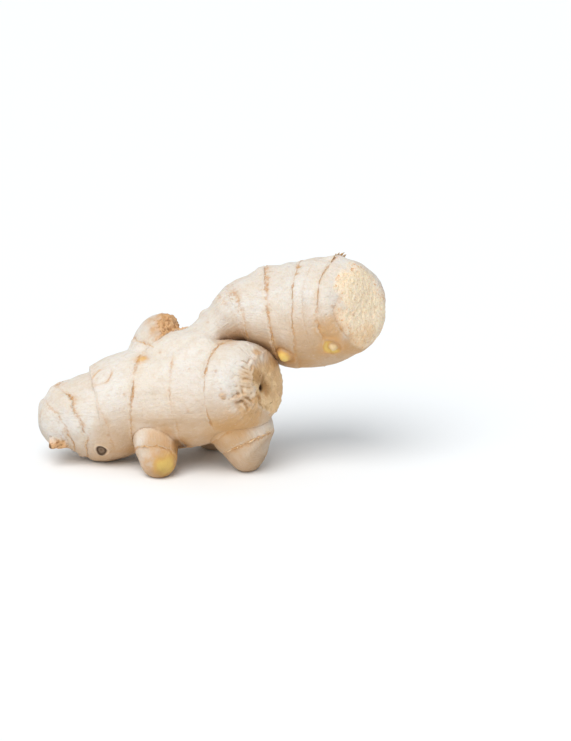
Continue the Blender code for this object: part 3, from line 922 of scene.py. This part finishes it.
class Finish:
    """One material, the place on the piece in mm, and the ways to add nodes to it."""

    def __init__(self, name):
        self.material = bpy.data.materials.new(name)
        self.material.use_nodes = True
        self.tree = self.material.node_tree
        self.surface = self.tree.nodes["Principled BSDF"]
        place = self.node("ShaderNodeTexCoord", {}, {}, "Object")
        self.place = self.scaled(place, (1 / MM,) * 3)

    def feed(self, socket, value):
        if isinstance(value, Amount):
            self.tree.links.new(value.socket, socket)
        else:
            socket.default_value = value

    def node(self, kind, settings, sockets, output=0):
        """Adds a node: its settings first, then the values or links of its sockets."""
        node = self.tree.nodes.new(kind)
        for name, value in settings.items():
            setattr(node, name, value)
        for name, value in sockets.items():
            self.feed(node.inputs[name], value)
        return Amount(self, node.outputs[output])

    def scaled(self, vector, factors):
        operation = {"operation": "MULTIPLY"}
        return self.node("ShaderNodeVectorMath", operation, {0: vector, 1: factors})

    def mask(self, name, output="Fac"):
        """A number, or with the output Vector a vector, that was stored on the points."""
        return self.node("ShaderNodeAttribute", {"attribute_name": name}, {}, output)

    def cloud(self, place, wavelength, detail=3.0, roughness=0.55):
        """Noise round 0.5 that changes over the wavelength, in mm."""
        sockets = {"Scale": 1 / wavelength, "Detail": detail, "Roughness": roughness}
        return self.node("ShaderNodeTexNoise", {}, {"Vector": place, **sockets})

    def band(self, value, low, high):
        """0 at low and 1 at high, smooth between; low may be the greater."""
        return self.node(
            "ShaderNodeMapRange", {"interpolation_type": "SMOOTHSTEP"},
            {"Value": value, "From Min": low, "From Max": high},
        )

    def mixed(self, share, first, second):
        """Goes from the first colour to the second one."""
        return self.node(
            "ShaderNodeMix", {"data_type": "RGBA"}, {0: share, 6: first, 7: second}, 2
        )

    def coated(self, colour, *coats):
        """Lays coats over a colour, each a share and a colour as the eye reads it."""
        for share, coat in coats:
            colour = self.mixed(share, colour, seen(*coat))
        return colour


print("a pale skin colour as light:", [round(part, 3) for part in seen(238, 222, 203)])

# %% [markdown]
# # The colour of the dry skin
#
# Fresh ginger is never one colour. A pale beige film lies over a warmer tan, in large soft
# patches and in small mottles, and it is worn off lengthwise in fine streaks. The lower side is
# painted darker and warmer, as painted shade. The streaks read the stored finger coordinates,
# squeezed along the finger, so they follow it round every bend.

# %% Colour the dry skin
dry = Finish("ginger skin")
along_grain = dry.mask("grain", "Vector")
steady_skin = dry.mask("steady")
lift = dry.mask("lift")
stained_and_shaded = dry.mask("stain_and_shade")

patches = dry.band(dry.cloud(dry.place, 15.0, 2.0), 0.36, 0.66)
mottles = dry.band(dry.cloud(dry.place, 2.6, 4.0, 0.6), 0.42, 0.68)
specks = dry.band(dry.cloud(dry.place, 0.8, 2.0), 0.56, 0.74)
streaks = dry.cloud(dry.scaled(along_grain, (0.07, 1, 1)), 1.25, 4.0, 0.62)
hairlines = dry.cloud(dry.scaled(along_grain, (0.05, 1, 1)), 0.5, 3.0, 0.6)
worn = dry.band(streaks, 0.5, 0.72) * steady_skin

papery = dry.cloud(dry.place, 1.0, 5.0, 0.68)
long_papery = dry.cloud(dry.scaled(along_grain, (0.45, 1, 1)), 0.95, 5.0, 0.68)
papery = papery + (long_papery - papery) * steady_skin

colour = dry.coated(
    dry.mixed(patches * 0.38, seen(232, 226, 218), seen(224, 206, 183)),
    (mottles * 0.25, (212, 186, 156)),
    # Painted shade: the more the skin faces down, the darker and warmer it gets, most at the thin
    # end.
    (dry.band(lift, 0.5, -0.6) * 0.78, (200, 157, 106)),
    # Real stains, and the painted shade that the stain list also holds.
    (stained_and_shaded * 0.8, (204, 154, 92)),
    (worn * 0.1, (200, 168, 130)),
    (dry.band(hairlines, 0.55, 0.75) * 0.12, (190, 156, 118)),
    (dry.band(papery, 0.54, 0.72) * 0.32, (196, 164, 126)),
    (dry.band(papery, 0.46, 0.3) * 0.25, (238, 230, 220)),
    (specks * 0.16, (194, 152, 106)),
)
print("nodes in the skin so far:", len(dry.tree.nodes))

# %% [markdown]
# # Valleys, crests and folds
#
# The stored valleys make wrinkles readable even in soft light: painted shade, brown, where the skin
# dips, and a painted highlight where it stands out. Deep folds and nooks between fingers get dark
# painted shade.

# %% Colour the valleys
fine_dip = dry.mask("fine_valley")
broad_dip = dry.mask("broad_valley")
fold = dry.mask("in_fold")

shade = dry.band(fold, 0.3, 0.9) * dry.band(broad_dip, 0.1, 0.8)
crease_shade = dry.band(fold, 0.5, 0.85) * dry.band(broad_dip, 0.3, 1.1)
nook_shade = dry.mask("painted_shade_nooks")
# Painted light: shade in the broad and fine valleys, the folds, the nooks and the crease, and a
# painted highlight on the fine crests.
colour = dry.coated(
    colour,
    (dry.band(broad_dip, 0.35, 1.6) * 0.45, (186, 142, 98)),
    (dry.band(fine_dip, 0.015, 0.11) * 0.5, (170, 126, 86)),
    (dry.band(fine_dip, -0.015, -0.1) * 0.25, (230, 216, 200)),
    (shade * 0.7, (172, 126, 82)),
    (dry.band(nook_shade, 0.15, 0.85) * 0.8, (158, 116, 74)),
    (dry.band(nook_shade, 0.55, 0.9) * 0.85, (84, 56, 32)),
    (crease_shade * 0.9, (78, 54, 32)),
)
print("nodes in the skin so far:", len(dry.tree.nodes))

# %% [markdown]
# # Scar lines
#
# A scar is a thin orange-brown line with a warm halo. The stored distance to the nearest scar
# draws it far finer than the mesh could: the line is where that distance is near 0. Noise moves
# it a little and breaks it into dashes, because a real scar is partly covered by dry skin.

# %% Draw the scars
scar_line_gap = dry.mask("scar_gap")
scar_strength = dry.mask("scar_mark")
scar_glow = dry.mask("scar_halo")

jitter = (dry.cloud(dry.place, 1.3, 3.0, 0.65) - 0.5) * 2.6
dashes = dry.band(dry.cloud(dry.place, 2.3, 3.0, 0.65), 0.4, 0.58)
flecks = dry.band(dry.cloud(dry.place, 1.3, 3.0, 0.6), 0.5, 0.6)
scar_side = scar_line_gap + jitter - 0.1
line_gap = abs(scar_side)
breadth = 0.4 + 1.1 * dry.band(dry.cloud(dry.place, 3.2, 3.0, 0.6), 0.42, 0.68)
scar_line = dry.band(line_gap, breadth, breadth * 0.25) * scar_strength * (0.3 + 0.7 * dashes)
scar_core = dry.band(line_gap, 0.26, 0.05) * scar_strength * dry.band(breadth, 0.6, 1.1)
# Painted highlight: a pale band on the raised lip just before each scar.
pale_edge = dry.band(scar_side, -2.0, -1.0) * dry.band(scar_side, -0.3, -0.9) * scar_strength
glow = scar_glow * dry.band(dry.cloud(dry.place, 3.4, 3.0, 0.6), 0.35, 0.65)

colour = dry.coated(
    colour,
    (glow * 0.45, (216, 176, 124)),
    (pale_edge * 0.25, (238, 224, 206)),
    (glow * flecks * dry.band(line_gap, 1.9, 0.4) * 0.6, (208, 156, 98)),
    (scar_line * 0.85, (206, 148, 86)),
    (scar_core * 0.5, (158, 104, 56)),
)
print("nodes in the skin so far:", len(dry.tree.nodes))

# %% [markdown]
# # Ends, buds and bruises
#
# The corky face is dotted orange and brown. The withered end is tan, with painted shade in its
# valleys and a painted highlight on its ridges, and the broken stub is brown, with painted shade in
# its hollows. Where the skin is off, the flesh shows: clear yellow, palest at the tip of a bud, with
# an orange border where it dries. Old root scars are almost black.

# %% Colour the ends and the buds
cork_face, dried_end, broken_end = dry.mask("cork"), dry.mask("withered"), dry.mask("ragged")
yellow, black = dry.mask("flesh"), dry.mask("bruise")
dots = dry.band(dry.cloud(dry.place, 1.3, 3.0, 0.6), 0.52, 0.68)
cork_specks = dry.band(dry.cloud(dry.place, 0.9, 2.0, 0.5), 0.6, 0.68)
cork_veins = dry.band(dry.cloud(dry.place, 2.4, 5.0, 0.7), 0.5, 0.58)
cork_edge = dry.band(cork_face, 0.1, 0.45) * dry.band(cork_face, 0.9, 0.5)
blotches = dry.band(dry.cloud(dry.place, 4.5, 4.0, 0.7), 0.42, 0.6)
warm_halo = dry.mask("halo") * dry.band(dry.cloud(dry.place, 2.8, 3.0, 0.6), 0.2, 0.6)
colour = dry.coated(
    colour,
    (cork_face * 0.95, (255, 233, 201)),
    (cork_face * dots * 0.35, (240, 188, 126)),
    (cork_face * cork_specks * 0.45, (206, 146, 84)),
    (cork_face * stained_and_shaded * 0.65, (236, 182, 118)),
    (cork_face * cork_veins * 0.35, (255, 240, 218)),
    (cork_edge * dots * 0.9, (218, 152, 84)),
    (dried_end * 0.88, (242, 205, 152)),
    (dried_end * blotches * 0.42, (198, 150, 94)),
    (dried_end * dots * 0.25, (188, 138, 82)),
    (dried_end * stained_and_shaded * 0.75, (168, 116, 56)),
    # Painted shade in the valleys of the withered end, and a painted highlight on its ridges.
    (dried_end * dry.band(fine_dip, 0.02, 0.16) * 0.6, (146, 102, 54)),
    (dried_end * dry.band(fine_dip, -0.03, -0.14) * 0.35, (236, 216, 186)),
    (broken_end * 0.85, (226, 172, 112)),
    (broken_end * dots * 0.75, (150, 96, 52)),
    # Painted shade in the hollows of the broken end.
    (broken_end * dry.band(fine_dip, 0.02, 0.2) * 0.45, (132, 86, 46)),
    (dry.mask("pimple") * 0.5, (184, 134, 90)),
    (warm_halo * 0.7, (214, 160, 98)),
    (dry.band(yellow, 0.1, 0.6) * 0.85, (226, 176, 92)),
    (dry.band(yellow, 0.5, 0.95) * 0.75, (240, 206, 112)),
    (dry.band(dry.mask("bud_tip"), 0.1, 0.9) * 0.7, (238, 212, 160)),
    (dry.band(black, 0.1, 0.9) * 0.93, (66, 44, 26)),
)
print("nodes in the skin so far:", len(dry.tree.nodes))

# %% [markdown]
# # Relief too fine for the mesh
#
# A Bump node bends the light as if the surface rose and fell, which is enough for scratches and
# grit of a tenth of a millimetre. All heights here are in mm, so its distance is one millimetre.
# The skin is matt, flesh is moister, and a little light passes under the surface, which softens
# the shadow side as in any juicy plant.

# %% Finish the skin
grit = dry.cloud(dry.place, 0.7, 4.0, 0.65)
cork_grit = dry.cloud(dry.place, 1.5, 5.0, 0.7)
heights = (streaks * 0.14 + hairlines * 0.08) * steady_skin + papery * 0.7 + grit * 0.2
heights = heights - scar_line * 0.25 + pale_edge * 0.15 + cork_face * cork_grit * 0.5
heights = heights + (broken_end + dried_end * 0.25) * cork_grit * 0.5
bump = dry.node("ShaderNodeBump", {}, {"Height": heights, "Distance": MM}, "Normal")

dull = 0.52 + 0.12 * mottles + 0.1 * scar_line + 0.12 * cork_face + 0.4 * black - 0.15 * yellow
dry.feed(dry.surface.inputs["Base Color"], colour)
dry.feed(dry.surface.inputs["Roughness"], dull)
dry.feed(dry.surface.inputs["Normal"], bump)
dry.feed(dry.surface.inputs["Subsurface Weight"], 0.12)
dry.feed(dry.surface.inputs["Subsurface Radius"], (1.0, 0.6, 0.3))
dry.feed(dry.surface.inputs["Subsurface Scale"], 1.5 * MM)
skin.data.materials.clear()
skin.data.materials.append(dry.material)
print("nodes in the skin:", len(dry.tree.nodes))

# %% [markdown]
# # Torn leaf scales
#
# The papery scale that wrapped a joint never comes off cleanly: a torn edge stays on the scar.
# It is a strip of paper that stands up from the skin. Its foot is a row of points along the
# scar, each found by a ray from the middle of the finger out to the skin. Extruding the row
# twice gives a strip with a curl, torn because each point rises by a height of its own, and
# Solidify turns it into a wall with a real thickness.

# %% Add the torn scales
PAPER_THICKNESS = 0.16
SCALE_STEP = 0.45
SCALE_FOOT = 0.4
SCALE_RISES = ((0.75, 0.25), (0.4, 0.6))
SCALE_REACH = 4.5
# Each row has a finger, the number of its scar, two angles and a height.
SCALES = (
    (body, 0, -55, -25, 0.5), (body, 1, -60, -20, 0.6), (body, 3, -40, -12, 0.5),
    (body, 3, 110, 210, 0.6), (body, 5, 120, 200, 0.6), (body, 1, 100, 220, 0.6),
    (upper, 3, -40, -15, 0.6), (upper, 3, 95, 190, 0.6),
    (upper, 6, 90, 122, 1.6), (upper, 6, 150, 260, 0.6), (stub, 0, -35, 60, 0.7),
    (stub, 0, 120, 230, 0.6), (pointed, 1, -60, 20, 0.5), (heel, 1, 0, 150, 0.5),
    (foot, 1, -60, 60, 0.5),
)
surface = BVHTree.FromObject(skin, bpy.context.evaluated_depsgraph_get())


def skin_hit(finger, along, degrees):
    """The skin's place and normal at that place on a finger, or None where it is covered."""
    middle, way = finger.way_out(along, degrees)
    hit, normal, _, reach = surface.ray_cast(Vector(middle * MM), Vector(way))
    radius = finger.at(np.array([along]), finger.radii)[0, 0]
    if hit is None or reach / MM > radius + SCALE_REACH:
        return None
    return np.array(hit) / MM, np.array(normal)


def scale_foot(finger, scar, low, high):
    """Places along a scar between two angles: skin, normal, and the way along the finger."""
    place, slant, _ = finger.scars[scar]
    radius = finger.at(np.array([place]), finger.radii)[0, 0]
    count = max(4, int(math.radians(high - low) * radius / SCALE_STEP))
    foot = []
    for degrees in np.linspace(low, high, count):
        along = place + slant * math.sin(math.radians(degrees)) - 0.3
        rough = skin_hit(finger, along, degrees)
        if rough is not None:
            along += float(wander_at(rough[0][None])[0])
            found = skin_hit(finger, along, degrees)
            if found is not None:
                foot.append((*found, finger.at(np.array([along]), finger.tangents)[0]))
    return foot


def raised_row(bm, row, pushes):
    """Extrudes a row of points into a strip and moves each new point by its push, in mm."""
    number = {tuple(vert.co): index for index, vert in enumerate(row)}
    edges = [bm.edges.get(pair) for pair in zip(row, row[1:])]
    made = bmesh.ops.extrude_edge_only(bm, edges=edges)["geom"]
    new_row = [item for item in made if isinstance(item, bmesh.types.BMVert)]
    new_row.sort(key=lambda vert: number[tuple(vert.co)])
    for vert, push in zip(new_row, pushes):
        vert.co += Vector(push * MM)
    return new_row


bm = bmesh.new()
for finger, scar, low, high, height in SCALES:
    foot = scale_foot(finger, scar, low, high)
    if len(foot) < 3:
        continue
    row = [bm.verts.new(Vector((spot - SCALE_FOOT * normal) * MM)) for spot, normal, _ in foot]
    for pair in zip(row, row[1:]):
        bm.edges.new(pair)
    share = np.sin(np.linspace(0, math.pi, len(foot))) ** 0.5
    jags = share * height * np.clip(0.4 + chance.normal(0, 0.35, len(foot)), 0.03, 1.3)
    lift = SCALE_FOOT
    for rise, lean in SCALE_RISES:
        pushes = [
            (lift + rise * jag) * normal + lean * jag * onward
            for jag, (_, normal, onward) in zip(jags, foot)
        ]
        row = raised_row(bm, row, pushes)
        lift = 0.0
for vert in bm.verts:
    vert.co.z = max(vert.co.z, 0.3 * MM)

paper = Finish("scale paper")
fibres = paper.cloud(paper.place, 0.9, 4.0, 0.65)
fibres = paper.band(fibres, 0.35, 0.65)
paper_colour = paper.mixed(fibres, seen(234, 212, 178), seen(212, 160, 100))
paper.feed(paper.surface.inputs["Base Color"], paper_colour)
paper.feed(paper.surface.inputs["Roughness"], 0.7)
scales = new_piece("torn_scales", bm, paper.material)
wall = scales.modifiers.new("paper wall", "SOLIDIFY")
wall.thickness = PAPER_THICKNESS * MM
wall.offset = 0.0
apply_modifiers(scales)
print("torn scales:", len(SCALES), "with faces:", len(scales.data.polygons))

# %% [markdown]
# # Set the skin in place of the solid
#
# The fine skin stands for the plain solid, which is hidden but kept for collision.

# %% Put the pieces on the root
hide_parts("rhizome")
for piece in (skin, scales):
    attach(piece, "root")
